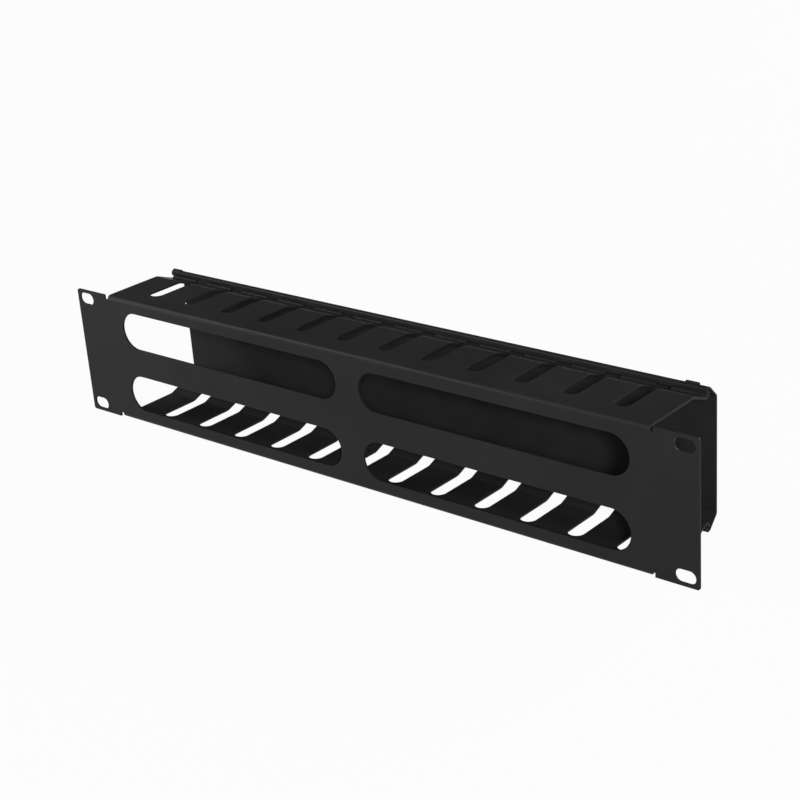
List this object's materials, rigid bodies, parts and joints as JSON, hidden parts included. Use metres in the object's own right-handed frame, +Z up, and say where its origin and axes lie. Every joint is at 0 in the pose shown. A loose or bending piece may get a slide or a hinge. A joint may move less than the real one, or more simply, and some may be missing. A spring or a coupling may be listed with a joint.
{
  "type": "horizontal cable manager",
  "caption": "Rack panel with stadium cable windows and slotted flanges that form a finger duct, closed by a clip-on folded cover.",
  "frame": {"origin": "middle of the panel's mounting face, which bears on the rack rails", "axes": "+X along the panel, +Y from the mounting face out through the duct to the cover, +Z up"},
  "size_m": [0.4826, 0.07, 0.0895],
  "materials": {
    "body_coat": "satin black powder coat, fine texture",
    "cover_coat": "satin black powder coat, fine texture"
  },
  "bodies": {
    "manager": {"manager_body": "body_coat"},
    "cover": {"duct_cover": "cover_coat"}
  },
  "joints": [
    {"name": "cover_slide", "type": "slide", "parent": "manager", "child": "cover", "axis": [1, 0, 0], "range_m": [-0.46, 0.46]}
  ]
}
